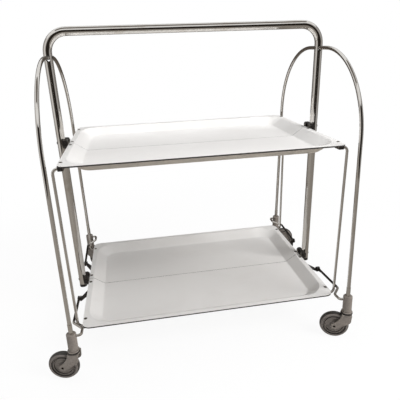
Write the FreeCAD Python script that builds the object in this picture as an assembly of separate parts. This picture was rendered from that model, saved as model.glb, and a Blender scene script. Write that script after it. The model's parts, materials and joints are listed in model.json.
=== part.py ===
import FreeCAD, Part
import os
from math import acos, asin, atan2, cos, degrees, hypot, pi, radians, sin, sqrt, tan

Vector = FreeCAD.Vector

# Folding serving trolley. Millimetres, +X along the handle, -Y the front, +Z up.
# The origin is on the floor under the middle of the trolley.

# Centre frame: one bent tube that makes the handle and both uprights
upright_spacing = 630.0
handle_height = 713.5
frame_tube_d = 19.0
frame_tube_wall = 1.5
handle_bend_r = 44.0
upright_foot_drop = 10.5
end_plug_depth = 9.0
end_plug_flange = 8.0

# Trays: two moulded sheets, each sawn along the middle into two halves
tray_half_depth = 211.0
upper_rim_height = 468.5
lower_rim_height = 98.5
seam_gap = 1.0
sheet = 3.0
rim_depth = 19.5
lip_width = 12.0
slope_run = 27.0
lip_corner_r = 18.0
floor_corner_r = 26.0
floor_blend_r = 8.0
lip_blend_r = 5.0

# Tray hinges: an ear on each tray half turns on a pin in a bracket on the upright
hinge_offset = 14.0
hinge_rivet_offset = 17.0
hinge_rise = 5.0
hinge_pin_d = 4.0
hinge_pin_head_d = 7.5
hinge_pin_head_t = 2.0
leaf_t = 2.5
leaf_reach = 40.0
leaf_edge = 3.0
ear_r = 6.5
side_play = 0.4
bracket_plate = 4.6
bracket_wrap = 4.0
bracket_half_width = 20.5
bracket_foot_half_width = 14.0
bracket_above_rim = 11.0
bracket_below_rim = 9.0
bracket_rivet_d = 4.4
bracket_rivet_head_d = 7.8
bracket_rivet_head_t = 1.5
bracket_rivet_rise = 3.0

# Rods that keep both trays parallel, and the blocks under the tray corners that hold them
rod_d = 6.0
rod_gap = 8.0
rod_from_edge = 22.0
rod_pivot_drop = 9.0
block_length = 28.0
block_height = 11.0
block_rivet_from_edge = 35.0
block_end_wall = 8.0
block_corner_r = 4.0

# Tray rivets
rivet_d = 4.0
rivet_head_d = 8.0
rivet_head_t = 1.4
rivet_tail_d = 6.0
rivet_tail_t = 1.0

# Legs: quarter arches of thin tube, hinged inside the uprights
leg_d = 8.4
leg_wall = 1.0
leg_pivot_drop = 53.0
leg_tray_gap = 8.5
leg_splay = 2.7
leg_bend_centre = 34.5
leg_inner_end = 7.0
leg_solid_end = 14.0
leg_swing = 16.0
tongue_t = 3.2
tongue_gap = 0.8
tongue_r = 3.8
leg_pin_d = 4.0
leg_pin_head_d = 7.5
leg_pin_head_t = 1.6
sleeve_d = 9.6
sleeve_length = 22.0
slot_clearance = 0.4

# Links that pull the legs in when the lower tray folds
crank_offset = 74.0
knee_drop = 1.5
link_end_drop = 7.5
link_d = 6.0
link_gap = 0.5
link_eye_t = 4.0
link_eye_r = 6.5
link_bend_r = 12.0
link_hook_bend_r = 7.0
link_hook_reach = 9.6
link_jog_start = 6.0
link_jog_run = 26.0
knee_pin_d = 6.0
knee_head_d = 9.6
knee_head_t = 2.0
arm_ear_t = 3.0
arm_width = 11.0
arm_lead = 38.0

# Casters, and how far they stand turned: the two that trail past the ends, and the other two
outer_caster_turn = -12.0
inner_caster_turn = -24.0
wheel_d = 68.0
wheel_width = 16.0
wheel_trail = 26.0
wheel_hub_d = 18.0
wheel_hub_width = 17.0
wheel_web_t = 8.5
wheel_rim_t = 7.6
wheel_ring_t = 2.8
wheel_ring_width = 2.0
wheel_ring_gap = 3.9
wheel_tread_r = 4.5
axle_d = 6.0
axle_hole_d = 3.6
axle_hole_depth = 3.0
cheek_t = 3.0
cheek_gap = 0.5
cheek_boss_r = 8.0
cheek_half_width = 11.6
cheek_lead_drop = 18.0
cheek_lead_lean = 1.2
cheek_elbow_r = 9.0
cheek_trail_angle = 32.0
crown_r = 12.5
crown_t = 3.0
wheel_head_room = 0.6
kingpin_d = 10.0
kingpin_length = 14.0
collar_d = 27.0
collar_height = 6.5
collar_groove = 1.2
collar_groove_height = 3.8
collar_upper_inset = 0.5
socket_d = 21.0
socket_length = 40.0
socket_edge_r = 2.5
socket_leg_depth = 19.0

# Clearances, and the small lengths used to overshoot a cut and to match an edge
running = 0.05
seated = 0.02
swivel_gap = 0.3
overcut = 1.0
match = 0.001

# Places that follow from the sizes above
upright_x = upright_spacing / 2
leg_pivot_height = handle_height - leg_pivot_drop
upright_foot_height = lower_rim_height - upright_foot_drop
leg_shoulder = tray_half_depth + leg_tray_gap
leg_bend_r = leg_shoulder - leg_bend_centre
frame_r = frame_tube_d / 2
upright_inner_x = upright_x - frame_r
end_gap = leaf_t + side_play + bracket_plate
tray_end_x = upright_inner_x - end_gap
ear_outer_x = tray_end_x + leaf_t
bracket_inner_x = ear_outer_x + side_play
half_slope = tan(atan2(rim_depth, slope_run) / 2)
under_shift = sheet * half_slope
lip_under_x = tray_end_x - lip_width + under_shift
leaf_inner_x = lip_under_x + (lip_blend_r - sheet) * half_slope + swivel_gap
lip_mid_x = (tray_end_x + leaf_inner_x) / 2
rod_x = tray_end_x + rod_gap + rod_d / 2
rod_bend_r = rod_x - tray_end_x
rod_y = tray_half_depth - rod_from_edge
block_rivet_y = tray_half_depth - block_rivet_from_edge
knee_y = hinge_offset + crank_offset
arm_ear_outer_x = rod_x + rod_d / 2 + link_gap * 2
link_x = arm_ear_outer_x + link_gap + link_d / 2
wheel_r = wheel_d / 2
crown_under = wheel_r + sqrt(wheel_r ** 2 - (wheel_trail - crown_r) ** 2) + wheel_head_room
crown_top = crown_under + crown_t
collar_top = crown_top + collar_height
socket_foot = collar_top + swivel_gap
splay_tan = tan(radians(leg_splay))
leg_down = Vector(0, sin(radians(leg_splay)), -cos(radians(leg_splay)))


def leg_y(height):
    """Distance of a leg's straight part from the middle plane, at a height above the floor."""
    return leg_shoulder + (leg_pivot_height - height) * splay_tan


kingpin_y = leg_y(socket_foot)
socket_top = socket_foot + socket_length * cos(radians(leg_splay))
knee_z = lower_rim_height - knee_drop
link_end_z = socket_top - link_end_drop
link_end_y = leg_y(link_end_z)
link_end_x = upright_x - socket_d / 2 - swivel_gap
link_hook_x = link_end_x - link_hook_reach


def box(x0, x1, y0, y1, z0, z1):
    return Part.makeBox(x1 - x0, y1 - y0, z1 - z0, Vector(x0, y0, z0))


def rod_along_x(x0, x1, y, z, diameter):
    return Part.makeCylinder(diameter / 2, x1 - x0, Vector(x0, y, z), Vector(1, 0, 0))


def rod_along_z(x, y, z0, z1, diameter):
    return Part.makeCylinder(diameter / 2, z1 - z0, Vector(x, y, z0))


def domed_head(x, y, z, diameter, height, direction):
    """Low round rivet head, a cap of a sphere that sits on a face at the given point."""
    r = ((diameter / 2) ** 2 + height ** 2) / (2 * height)
    centre = Vector(x, y, z) - direction * (r - height)
    edge_angle = degrees(asin((r - height) / r))
    return Part.makeSphere(r, centre, direction, edge_angle, 90, 360)


def plate_in_yz(points, x0, thickness):
    """Flat plate from a closed outline of (y, z) points, standing across X."""
    corners = [Vector(x0, y, z) for y, z in points]
    outline = Part.makePolygon(corners + corners[:1])
    return Part.Face(outline).extrude(Vector(thickness, 0, 0))


def plate_in_xy(points, z0, thickness):
    """Flat plate from a closed outline of (x, y) points, lying level."""
    corners = [Vector(x, y, z0) for x, y in points]
    outline = Part.makePolygon(corners + corners[:1])
    return Part.Face(outline).extrude(Vector(0, 0, thickness))


def bent_path(points, radius):
    """Wire of straight runs with a tangent arc at each inner point; radius is one value or a list."""
    radii = radius if isinstance(radius, list) else [radius] * (len(points) - 2)
    edges = []
    start = points[0]
    for corner, after, bend_r in zip(points[1:-1], points[2:], radii):
        back = (start - corner).normalize()
        ahead = (after - corner).normalize()
        half_turn = (pi - back.getAngle(ahead)) / 2
        reach = bend_r * tan(half_turn)
        first = corner + back * reach
        last = corner + ahead * reach
        middle_way = (back + ahead).normalize()
        middle = corner + middle_way * (bend_r / cos(half_turn) - bend_r)
        edges.append(Part.LineSegment(start, first).toShape())
        edges.append(Part.Arc(first, middle, last).toShape())
        start = last
    edges.append(Part.LineSegment(start, points[-1]).toShape())
    return Part.Wire(edges)


def bent_rod(points, radius, diameter):
    """Round bar swept along a bent path."""
    path = bent_path(points, radius)
    direction = points[1] - points[0]
    ring = Part.Wire([Part.makeCircle(diameter / 2, points[0], direction)])
    return path.makePipeShell([ring], True, False)


def mirrored(shape, x_side, y_side):
    """Copy of a shape made in the right back quarter, for any quarter of the trolley."""
    copy = shape
    if x_side < 0:
        copy = copy.mirror(Vector(0, 0, 0), Vector(1, 0, 0))
    if y_side < 0:
        copy = copy.mirror(Vector(0, 0, 0), Vector(0, 1, 0))
    return copy


def both_ends(shape, y_side):
    """The same piece at the right and the left end of one half, as a group."""
    return Part.makeCompound([mirrored(shape, x_side, y_side) for x_side in (1, -1)])


def rounded_outline(inset, corner_r, z):
    """Rounded rectangle that lies inside the tray's outer edge by an inset."""
    half_x = tray_end_x - inset
    half_y = tray_half_depth - inset
    edges = []
    for turn in range(4):
        sign_x = (1, -1, -1, 1)[turn]
        sign_y = (1, 1, -1, -1)[turn]
        centre = Vector(sign_x * (half_x - corner_r), sign_y * (half_y - corner_r), z)
        start = turn * 90.0
        edges.append(Part.makeCircle(corner_r, centre, Vector(0, 0, 1), start, start + 90.0))
    joined = []
    for arc, following in zip(edges, edges[1:] + edges[:1]):
        joined.append(arc)
        joined.append(Part.makeLine(arc.Vertexes[-1].Point, following.Vertexes[0].Point))
    return Part.Wire(joined)


def flat_loop(shape, z, inset_range):
    """Edges of a shape that lie at one height, within a range of insets from the tray's edge."""
    low, high = inset_range
    found = []
    for edge in shape.Edges:
        limits = edge.BoundBox
        if abs(limits.ZMin - z) > match or abs(limits.ZMax - z) > match:
            continue
        middle = edge.valueAt((edge.FirstParameter + edge.LastParameter) / 2)
        inset = min(tray_end_x - abs(middle.x), tray_half_depth - abs(middle.y))
        if low < inset < high:
            found.append(edge)
    return found


def tray_dish(rim_z):
    """Whole tray: flat floor, sloped rim, level lip, one even thickness, soft bends."""
    floor_z = rim_z - rim_depth
    lip_top_r = floor_corner_r + slope_run
    under_lip = rounded_outline(lip_width - under_shift, lip_top_r + under_shift, rim_z - sheet)
    under_floor = rounded_outline(lip_width + slope_run - under_shift, floor_corner_r + under_shift,
                                  floor_z - sheet)
    bowl = Part.makeLoft([under_floor, under_lip], True, True)
    lip = Part.Face(rounded_outline(0, lip_corner_r, rim_z - sheet)).extrude(Vector(0, 0, sheet))
    floor_line = rounded_outline(lip_width + slope_run, floor_corner_r, floor_z)
    rim_line = rounded_outline(lip_width, lip_top_r, rim_z)
    hollow = Part.makeLoft([floor_line, rim_line], True, True)
    dish = bowl.fuse(lip).cut(hollow)
    mid_slope = lip_width + slope_run / 2
    lip_range = (lip_width / 2, mid_slope)
    floor_range = (mid_slope, lip_width + slope_run + floor_corner_r)
    dish = dish.makeFillet(floor_blend_r, flat_loop(dish, floor_z, floor_range))
    dish = dish.makeFillet(lip_blend_r, flat_loop(dish, rim_z, lip_range))
    dish = dish.makeFillet(floor_blend_r + sheet, flat_loop(dish, floor_z - sheet, floor_range))
    dish = dish.makeFillet(lip_blend_r - sheet, flat_loop(dish, rim_z - sheet, lip_range))
    return dish


def rivet_places():
    """The two rivets of a half, at its right end: beside the hinge, and over the corner block."""
    return [(lip_mid_x, hinge_rivet_offset), (lip_mid_x, block_rivet_y)]


def tray_half(rim_z):
    """Back half of a tray, with its rivet holes."""
    reach = tray_half_depth + lip_width
    keep = box(-upright_x, upright_x, seam_gap / 2, reach, rim_z - rim_depth - 2 * sheet, rim_z + sheet)
    half = tray_dish(rim_z).common(keep)
    for x, y in rivet_places():
        hole = rod_along_z(x, y, rim_z - rim_depth - sheet, rim_z + sheet, rivet_d + 2 * seated)
        half = half.cut(hole).cut(mirrored(hole, -1, 1))
    return half


def tray_rivets(rim_z):
    """Rivets of the right end of a back half."""
    solids = []
    depths = [sheet + leaf_t, sheet + block_height]
    for (x, y), depth in zip(rivet_places(), depths):
        shank = rod_along_z(x, y, rim_z - depth - rivet_tail_t, rim_z, rivet_d)
        head = domed_head(x, y, rim_z, rivet_head_d, rivet_head_t, Vector(0, 0, 1))
        tail = rod_along_z(x, y, rim_z - depth - rivet_tail_t, rim_z - depth, rivet_tail_d)
        solids.append(shank.fuse(head).fuse(tail).removeSplitter())
    return solids


def hinge_ear(rim_z):
    """Ear that stands past the tray's end and turns on the hinge pin, with the strip under the lip."""
    axis_z = rim_z + hinge_rise
    strip_top = rim_z - sheet
    strip_foot = strip_top - leaf_t
    eye = rod_along_x(tray_end_x, ear_outer_x, hinge_offset, axis_z, 2 * ear_r)
    stem = box(tray_end_x, ear_outer_x, hinge_offset - ear_r, hinge_offset + ear_r, strip_foot, axis_z)
    root = box(leaf_inner_x, ear_outer_x, hinge_offset - ear_r, hinge_offset + ear_r, strip_foot, strip_top)
    return eye.fuse(stem).fuse(root)


def drilled_leaf(leaf, rim_z):
    """Hinge leaf with its pin hole and its rivet hole."""
    axis_z = rim_z + hinge_rise
    pin_hole = rod_along_x(leaf_inner_x, upright_x, hinge_offset, axis_z, hinge_pin_d + 2 * running)
    rivet_hole = rod_along_z(lip_mid_x, hinge_rivet_offset, rim_z - rim_depth, rim_z, rivet_d + 2 * seated)
    return leaf.cut(pin_hole).cut(rivet_hole).removeSplitter()


def upper_hinge_leaf():
    strip_top = upper_rim_height - sheet
    strip = box(leaf_inner_x, tray_end_x, leaf_edge, leaf_reach, strip_top - leaf_t, strip_top)
    return drilled_leaf(hinge_ear(upper_rim_height).fuse(strip), upper_rim_height)


def lower_hinge_arm():
    """Hinge leaf of the lower tray, drawn out past the lip into the crank arm of the leg links."""
    strip_top = lower_rim_height - sheet
    strip_foot = strip_top - leaf_t
    arm_inner_x = arm_ear_outer_x - arm_ear_t
    arm_end_y = knee_y + link_eye_r
    outline = [
        (leaf_inner_x, leaf_edge),
        (tray_end_x, leaf_edge),
        (tray_end_x, knee_y - arm_lead),
        (arm_ear_outer_x, knee_y - link_eye_r),
        (arm_ear_outer_x, arm_end_y),
        (arm_inner_x, arm_end_y),
        (leaf_inner_x, knee_y - arm_lead + arm_width),
    ]
    strip = plate_in_xy(outline, strip_foot, leaf_t)
    eye = rod_along_x(arm_inner_x, arm_ear_outer_x, knee_y, knee_z, 2 * link_eye_r)
    stem = box(arm_inner_x, arm_ear_outer_x, knee_y - link_eye_r, arm_end_y, strip_foot, knee_z)
    arm = hinge_ear(lower_rim_height).fuse(strip).fuse(eye).fuse(stem)
    knee_hole = rod_along_x(arm_inner_x, arm_ear_outer_x, knee_y, knee_z, knee_pin_d + 2 * seated)
    return drilled_leaf(arm.cut(knee_hole), lower_rim_height)


def corner_block(rim_z):
    """Block under a tray corner, bored for the end of a rod."""
    top = rim_z - sheet
    y0 = block_rivet_y - block_end_wall
    block = box(leaf_inner_x, tray_end_x, y0, y0 + block_length, top - block_height, top)
    block = block.makeFillet(block_corner_r, [e for e in block.Edges if is_low_cross_edge(e, top)])
    bore = rod_along_x(leaf_inner_x, tray_end_x, rod_y, rim_z - rod_pivot_drop, rod_d + 2 * running)
    hole = rod_along_z(lip_mid_x, block_rivet_y, rim_z - rim_depth - sheet, rim_z, rivet_d + 2 * seated)
    return block.cut(bore).cut(hole)


def is_low_cross_edge(edge, top):
    """True for the two lower edges of a block that run along X."""
    limits = edge.BoundBox
    return limits.YLength < match and limits.ZLength < match and limits.ZMax < top - match


def parallel_rod():
    """Rod between the corner blocks of both trays, bent at both ends into a pivot."""
    top = upper_rim_height - rod_pivot_drop
    foot = lower_rim_height - rod_pivot_drop
    points = [
        Vector(leaf_inner_x, rod_y, top),
        Vector(rod_x, rod_y, top),
        Vector(rod_x, rod_y, foot),
        Vector(leaf_inner_x, rod_y, foot),
    ]
    return bent_rod(points, rod_bend_r, rod_d)


def handle_frame():
    """Inverted U of tube, with slots for the legs and holes for the leg pins and bracket rivets."""
    points = [
        Vector(-upright_x, 0, upright_foot_height),
        Vector(-upright_x, 0, handle_height),
        Vector(upright_x, 0, handle_height),
        Vector(upright_x, 0, upright_foot_height),
    ]
    outer = bent_rod(points, handle_bend_r, frame_tube_d)
    inner = bent_rod(points, handle_bend_r, frame_tube_d - 2 * frame_tube_wall)
    tube = outer.cut(inner)
    slot_r = leg_d / 2 + slot_clearance
    drop = frame_r * tan(radians(leg_swing)) + slot_clearance
    upper_round = Part.makeCylinder(slot_r, 4 * frame_r, Vector(upright_x, -2 * frame_r, leg_pivot_height),
                                    Vector(0, 1, 0))
    lower_round = upper_round.translated(Vector(0, 0, -drop))
    between = box(upright_x - slot_r, upright_x + slot_r, -2 * frame_r, 2 * frame_r,
                  leg_pivot_height - drop, leg_pivot_height)
    slot = upper_round.fuse(lower_round).fuse(between)
    cuts = [slot, cross_hole(leg_pivot_height, leg_pin_d)]
    for rim_z in (upper_rim_height, lower_rim_height):
        cuts.append(cross_hole(rim_z + bracket_rivet_rise, bracket_rivet_d))
    for cut in cuts:
        tube = tube.cut(cut).cut(mirrored(cut, -1, 1))
    return tube


def cross_hole(height, diameter):
    """Drill through the right upright, along X."""
    return rod_along_x(upright_x - 2 * frame_r, upright_x + 2 * frame_r, 0, height, diameter + 2 * seated)


def upright_end_plug():
    """Plastic plug in the open lower end of an upright."""
    stem_d = frame_tube_d - 2 * frame_tube_wall - 2 * seated
    stem = rod_along_z(upright_x, 0, upright_foot_height, upright_foot_height + end_plug_depth, stem_d)
    flange_foot = upright_foot_height - end_plug_flange
    flange = rod_along_z(upright_x, 0, flange_foot, upright_foot_height, frame_tube_d)
    return stem.fuse(flange).removeSplitter()


def hinge_bracket(rim_z):
    """Bracket on the inner side of an upright that carries the hinge pins of both tray halves."""
    foot = rim_z - bracket_below_rim
    top = rim_z + bracket_above_rim
    shoulder = rim_z + hinge_rise - ear_r
    outline = [
        (-bracket_foot_half_width, foot),
        (bracket_foot_half_width, foot),
        (bracket_half_width, shoulder),
        (bracket_half_width, top),
        (-bracket_half_width, top),
        (-bracket_half_width, shoulder),
    ]
    width = bracket_plate + bracket_wrap
    block = plate_in_yz(outline, bracket_inner_x, width)
    seat = rod_along_z(upright_x, 0, foot - overcut, top + overcut, frame_tube_d + 2 * seated)
    block = block.cut(seat)
    for y in (hinge_offset, -hinge_offset):
        block = block.cut(rod_along_x(bracket_inner_x - overcut, upright_x, y, rim_z + hinge_rise,
                                      hinge_pin_d + 2 * seated))
    return block.cut(cross_hole(rim_z + bracket_rivet_rise, bracket_rivet_d))


def hinge_pin(rim_z):
    """Headed pin of a back tray half, held in the bracket."""
    axis_z = rim_z + hinge_rise
    tip_x = bracket_inner_x + bracket_plate + bracket_wrap
    head_x = tray_end_x - seated
    shank = rod_along_x(head_x, tip_x, hinge_offset, axis_z, hinge_pin_d)
    head = domed_head(head_x, hinge_offset, axis_z, hinge_pin_head_d, hinge_pin_head_t, Vector(-1, 0, 0))
    return shank.fuse(head).removeSplitter()


def bracket_rivet(rim_z):
    """Rivet that holds a hinge bracket to its upright, with a head on both sides."""
    height = rim_z + bracket_rivet_rise
    outer_x = upright_x + frame_r
    shank = rod_along_x(bracket_inner_x, outer_x, 0, height, bracket_rivet_d)
    head = domed_head(outer_x, 0, height, bracket_rivet_head_d, bracket_rivet_head_t, Vector(1, 0, 0))
    foot = domed_head(bracket_inner_x, 0, height, bracket_rivet_head_d, bracket_rivet_head_t,
                      Vector(-1, 0, 0))
    return shank.fuse(head).fuse(foot).removeSplitter()


def leg_pivot_pin():
    """Pin through an upright that both legs of that end turn on."""
    outer_x = upright_x + frame_r
    shank = rod_along_x(upright_inner_x, outer_x, 0, leg_pivot_height, leg_pin_d)
    head = domed_head(outer_x, 0, leg_pivot_height, leg_pin_head_d, leg_pin_head_t, Vector(1, 0, 0))
    foot = domed_head(upright_inner_x, 0, leg_pivot_height, leg_pin_head_d, leg_pin_head_t, Vector(-1, 0, 0))
    return shank.fuse(head).fuse(foot).removeSplitter()


def leg_tube(tongue_side):
    """Arched leg of a back quarter; its flat tongue lies on one side of the upright's middle."""
    corner = Vector(upright_x, leg_shoulder, leg_pivot_height)
    top_of_socket = Vector(upright_x, leg_y(socket_top), socket_top)
    foot = top_of_socket + leg_down * socket_leg_depth
    outer = bent_rod([Vector(upright_x, leg_inner_end, leg_pivot_height), corner, foot], leg_bend_r, leg_d)
    inner_start = Vector(upright_x, leg_inner_end + leg_solid_end, leg_pivot_height)
    inner = bent_rod([inner_start, corner, foot], leg_bend_r, leg_d - 2 * leg_wall)
    sleeve = Part.makeCylinder(sleeve_d / 2, sleeve_length, top_of_socket, leg_down * -1)
    tongue_low = tongue_gap / 2 if tongue_side > 0 else -tongue_gap / 2 - tongue_t
    x0 = upright_x + tongue_low
    x1 = x0 + tongue_t
    eye = rod_along_x(x0, x1, 0, leg_pivot_height, 2 * tongue_r)
    strip_end = leg_inner_end + leg_d / 2
    strip = box(x0, x1, 0, strip_end, leg_pivot_height - tongue_r, leg_pivot_height + tongue_r)
    bar = Part.makeCylinder(leg_d / 2, leg_inner_end + leg_d / 2, Vector(upright_x, 0, leg_pivot_height),
                            Vector(0, 1, 0))
    tongue = eye.fuse(strip.common(bar))
    leg = outer.fuse(sleeve).fuse(tongue).cut(inner)
    pin_hole = rod_along_x(x0 - overcut, x1 + overcut, 0, leg_pivot_height, leg_pin_d + 2 * running)
    return leg.cut(pin_hole)


def caster_socket():
    """Moulded socket that joins a leg's foot to its caster, in line with the leg."""
    top = Vector(upright_x, leg_y(socket_top), socket_top)
    body = Part.makeCylinder(socket_d / 2, 2 * socket_length, top, leg_down)
    top_edge = [e for e in body.Edges if e.Closed and abs(e.CenterOfMass.z - socket_top) < match]
    body = body.makeFillet(socket_edge_r, top_edge)
    below = box(upright_x - socket_d, upright_x + socket_d, kingpin_y - socket_d, kingpin_y + socket_d,
                socket_foot - 2 * socket_length, socket_foot)
    leg_bore = Part.makeCylinder(leg_d / 2 + seated, socket_leg_depth, top, leg_down)
    kingpin_bore = rod_along_z(upright_x, kingpin_y, socket_foot, socket_foot + kingpin_length + swivel_gap,
                               kingpin_d + 2 * running)
    return body.cut(below).cut(leg_bore).cut(kingpin_bore)


def link_point(x, y):
    """Point of the link's middle line, which rises evenly from the knee to the socket."""
    rise = (link_end_z - knee_z) / (link_end_y - knee_y)
    return Vector(x, y, knee_z + (y - knee_y) * rise)


def leg_link():
    """Bent bar from the crank arm's knee to the caster socket."""
    jog_y = rod_y + link_jog_start
    points = [
        link_point(link_x, knee_y + link_eye_r),
        link_point(link_x, jog_y),
        link_point(link_hook_x, jog_y + link_jog_run),
        link_point(link_hook_x, link_end_y),
        link_point(link_end_x, link_end_y),
    ]
    bar = bent_rod(points, [link_bend_r, link_bend_r, link_hook_bend_r], link_d)
    x0 = link_x - link_eye_t / 2
    x1 = link_x + link_eye_t / 2
    eye = rod_along_x(x0, x1, knee_y, knee_z, 2 * link_eye_r)
    neck_half = link_d / 2
    neck = box(x0, x1, knee_y, knee_y + 2 * link_eye_r, knee_z - neck_half, knee_z + neck_half)
    hole = rod_along_x(x0 - overcut, x1 + overcut, knee_y, knee_z, knee_pin_d + 2 * running)
    return bar.fuse(eye).fuse(neck).cut(hole)


def knee_rivet():
    """Rivet of the knee between the crank arm and the link, flush with the arm's inner face."""
    inner_x = arm_ear_outer_x - arm_ear_t
    outer_x = link_x + link_eye_t / 2 + seated
    shank = rod_along_x(inner_x, outer_x, knee_y, knee_z, knee_pin_d)
    head = domed_head(outer_x, knee_y, knee_z, knee_head_d, knee_head_t, Vector(1, 0, 0))
    return shank.fuse(head).removeSplitter()


def fork_cheek(inner_y):
    """Horn-shaped side of a caster fork: straight in front, hollow behind, round about the axle."""
    def at(x, z):
        return Vector(x, inner_y, z)

    def on_boss(angle):
        return at(-wheel_trail + cheek_boss_r * cos(angle), wheel_r + cheek_boss_r * sin(angle))

    lead_top = at(cheek_half_width, crown_under)
    elbow = at(cheek_half_width - cheek_lead_lean, crown_under - cheek_lead_drop)
    away_x = elbow.x + wheel_trail
    away_z = elbow.z - wheel_r
    lead_angle = atan2(away_z, away_x) - acos(cheek_boss_r / hypot(away_x, away_z))
    trail_angle = pi / 2 + radians(cheek_trail_angle)
    boss_lead = on_boss(lead_angle)
    boss_trail = on_boss(trail_angle)
    boss_far = on_boss((lead_angle + trail_angle) / 2 + pi)
    trail_top = at(-cheek_half_width, crown_under)
    chord = trail_top - boss_trail
    outward = Vector(cos(trail_angle), 0, sin(trail_angle))
    hollow_r = chord.dot(chord) / (2 * chord.dot(outward))
    hollow_centre = boss_trail + outward * hollow_r
    to_middle = ((boss_trail + trail_top) * 0.5 - hollow_centre).normalize()
    hollow_middle = hollow_centre + to_middle * hollow_r
    edges = bent_path([lead_top, elbow, boss_lead], cheek_elbow_r).Edges
    edges.append(Part.Arc(boss_lead, boss_far, boss_trail).toShape())
    edges.append(Part.Arc(boss_trail, hollow_middle, trail_top).toShape())
    edges.append(Part.makeLine(trail_top, lead_top))
    return Part.Face(Part.Wire(edges)).extrude(Vector(0, cheek_t, 0))


def swivel_fork():
    """Caster fork with its kingpin; the kingpin stands on the Z axis and the wheel trails to -X."""
    inner_y = wheel_hub_width / 2 + cheek_gap
    half_width = inner_y + cheek_t
    cheek = fork_cheek(inner_y)
    crown = rod_along_z(0, 0, crown_under, crown_top, 2 * crown_r)
    bridge = box(-cheek_half_width, cheek_half_width, -half_width, half_width, crown_under, crown_top)
    kingpin = rod_along_z(0, 0, crown_top, socket_foot + kingpin_length, kingpin_d)
    fork = crown.fuse(bridge).fuse(kingpin).fuse(cheek).fuse(mirrored(cheek, 1, -1))
    hole_start = Vector(-wheel_trail, -2 * half_width, wheel_r)
    axle_hole = Part.makeCylinder(axle_d / 2 + seated, 4 * half_width, hole_start, Vector(0, 1, 0))
    return fork.cut(axle_hole).removeSplitter()


def bumper_collar():
    """Ring round the kingpin between the fork and the socket, with a groove round its rim."""
    r = collar_d / 2
    bore = kingpin_d / 2 + seated
    middle = crown_top + collar_groove_height
    points = [
        (bore, crown_top),
        (r - collar_groove, crown_top),
        (r, crown_top + collar_groove),
        (r, middle - collar_groove),
        (r - collar_groove, middle),
        (r - collar_upper_inset, middle + collar_groove),
        (socket_d / 2 + collar_groove, collar_top),
        (bore, collar_top),
    ]
    corners = [Vector(x, 0, z) for x, z in points]
    section = Part.Face(Part.makePolygon(corners + corners[:1]))
    return section.revolve(Vector(0, 0, 0), Vector(0, 0, 1), 360)


def wheel_axle():
    """Tubular axle pin, flush with the fork's cheeks, with a hollow in each end."""
    half = wheel_hub_width / 2 + cheek_gap + cheek_t
    pin = Part.makeCylinder(axle_d / 2, 2 * half, Vector(-wheel_trail, -half, wheel_r), Vector(0, 1, 0))
    for y, way in ((-half, 1), (half, -1)):
        pin = pin.cut(Part.makeCylinder(axle_hole_d / 2, axle_hole_depth, Vector(-wheel_trail, y, wheel_r),
                                        Vector(0, way, 0)))
    return pin


def caster_wheel():
    """Wheel with a rounded tread, a raised ring on each face, a thin web and a hub."""
    half = wheel_width / 2
    web = wheel_web_t / 2
    hub_r = wheel_hub_d / 2
    rim_r = wheel_r - wheel_rim_t
    ring_out = rim_r - wheel_ring_gap
    ring_in = ring_out - wheel_ring_width
    bore = axle_d / 2 + running
    side = [
        (bore, wheel_hub_width / 2),
        (hub_r, wheel_hub_width / 2),
        (hub_r, web),
        (ring_in, web),
        (ring_in, web + wheel_ring_t),
        (ring_out, web + wheel_ring_t),
        (ring_out, web),
        (rim_r, web),
        (rim_r, half),
        (wheel_r - wheel_tread_r, half),
    ]
    centre = Vector(-wheel_trail, 0, wheel_r)
    near = [centre + Vector(r, y, 0) for r, y in side]
    far = [centre + Vector(r, -y, 0) for r, y in reversed(side)]
    tread = Part.Arc(near[-1], centre + Vector(wheel_r, 0, 0), far[0]).toShape()
    edges = [Part.makeLine(a, b) for a, b in zip(near, near[1:])]
    edges.append(tread)
    edges += [Part.makeLine(a, b) for a, b in zip(far, far[1:] + near[:1])]
    section = Part.Face(Part.Wire(edges))
    return section.revolve(centre, Vector(0, 1, 0), 360)


def caster_turn(x_side, y_side):
    """How far a caster stands turned at rest: front wheels trail to the left, back ones to the right."""
    turn = outer_caster_turn if x_side == y_side else inner_caster_turn
    return turn if y_side < 0 else turn + 180


def placed_caster(piece, x_side, y_side):
    """Caster piece under one leg, turned as it stands at rest."""
    copy = piece.copy()
    copy.rotate(Vector(0, 0, 0), Vector(0, 0, 1), caster_turn(x_side, y_side))
    copy.translate(Vector(x_side * upright_x, y_side * kingpin_y, 0))
    return copy


def save(node, shape):
    shape.exportStep("parts/" + node + ".step")


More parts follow.
